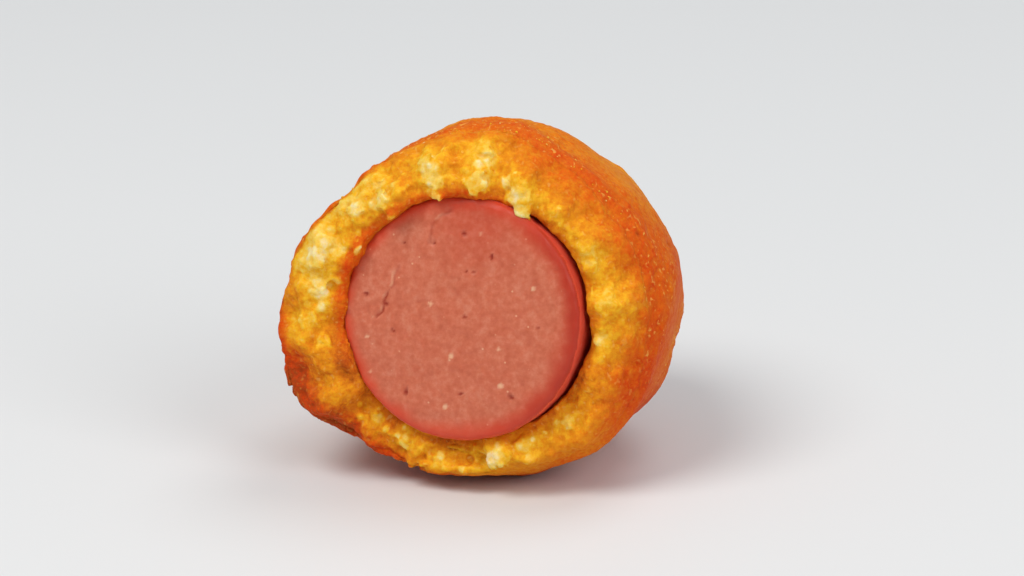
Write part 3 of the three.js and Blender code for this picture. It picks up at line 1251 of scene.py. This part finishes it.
def makeSausage():
    bm = bmesh.new()
    corners = [bm.verts.new((x, y, 0)) for x, y in sausageProfile()]
    line = [bm.edges.new(pair) for pair in zip(corners, corners[1:])]
    bmesh.ops.spin(
        bm,
        geom=corners + line,
        axis=(0, 1, 0),
        angle=2 * math.pi,
        steps=sausageForm["turns"],
        use_merge=True,
    )
    bmesh.ops.remove_doubles(bm, verts=bm.verts, dist=1e-4)
    bmesh.ops.recalc_face_normals(bm, faces=bm.faces)
    bmesh.ops.translate(bm, verts=bm.verts, vec=(0, 0, -sausageSize["below"]))
    sausage = newPiece("frankfurter", meshFrom("frankfurter", bm))
    remesh(sausage, sausageForm["voxel"], 1)
    sculpt(sausage, shapeSausage)
    keep(sausage, tintSausage)
    return sausage


# Floor, light and camera
studio = {
    "floorSize": 1.5,
    "floorColour": "#DFE2E4",
    "floorRoughness": 0.6,
    "skyColour": "#F6F7FA",
    "skyStrength": 0.37,
    "aim": Vector((0.4 * mm, 2 * mm, 13.2 * mm)),
    # name, azimuth, elevation, distance in m, size in m, watts, colour
    "lights": [
        ("keyLight", -30, 55, 0.75, 0.42, 3.3, "#FFFBF6"),
        ("fillLight", 60, 34, 0.8, 0.5, 2.1, "#FFFCF8"),
        ("topLight", 150, 62, 0.75, 0.4, 1.2, "#FFFFFF"),
    ],
    "camera": {"azimuth": 17, "elevation": 17.4, "distance": 0.382, "lens": 165, "clipStart": 0.01},
}


def makeStage():
    bm = bmesh.new()
    bmesh.ops.create_grid(bm, x_segments=1, y_segments=1, size=studio["floorSize"])
    floor = newPiece("floor", meshFrom("floor", bm))
    settings = {"Base Color": colour(studio["floorColour"]), "Roughness": studio["floorRoughness"]}
    floor.data.materials.append(newMaterial("paleFloor", settings)[0])


# Puts a lamp or the camera so far from the aim in a direction, and turns it to the aim.
def placeAt(name, data, azimuth, elevation, distance):
    a, e = math.radians(azimuth), math.radians(elevation)
    direction = Vector((math.sin(a) * math.cos(e), -math.cos(a) * math.cos(e), math.sin(e)))
    holder = newPiece(name, data)
    holder.location = studio["aim"] + direction * distance
    holder.rotation_euler = direction.to_track_quat("Z", "Y").to_euler()
    return holder


def makeLights():
    for name, azimuth, elevation, distance, size, watts, code in studio["lights"]:
        lamp = bpy.data.lights.new(name, "AREA")
        lamp.shape = "DISK"
        lamp.size = size
        lamp.energy = watts
        lamp.color = colour(code)[:3]
        placeAt(name, lamp, azimuth, elevation, distance)
    world = bpy.data.worlds.new("studio")
    world.use_nodes = True
    sky = world.node_tree.nodes["Background"]
    sky.inputs["Color"].default_value = colour(studio["skyColour"])
    sky.inputs["Strength"].default_value = studio["skyStrength"]
    bpy.context.scene.world = world


def makeCamera():
    view = studio["camera"]
    camera = bpy.data.cameras.new("camera")
    camera.lens = view["lens"]
    camera.clip_start = view["clipStart"]
    holder = placeAt("camera", camera, view["azimuth"], view["elevation"], view["distance"])
    bpy.context.scene.camera = holder


makeCamera()
makeLights()
makeStage()
print("camera, lights and floor placed")
crust = makeCrust()
print("crust shaped")
crumb = makeCrumb()
print("crumb shaped")
looseCrumbs = makeLooseCrumbs(crust)
print("loose crumbs scattered")
sausage = makeSausage()
print("sausage shaped")
crumbFinish = tornCrumb()
finishPiece(crust, friedCrust(), "batter")
finishPiece(crumb, crumbFinish, "batter")
finishPiece(looseCrumbs, crumbFinish)
finishPiece(sausage, frankfurter(), "sausage")
bpy.data.objects.remove(softCoat)
bpy.context.scene.view_settings.view_transform = "Standard"
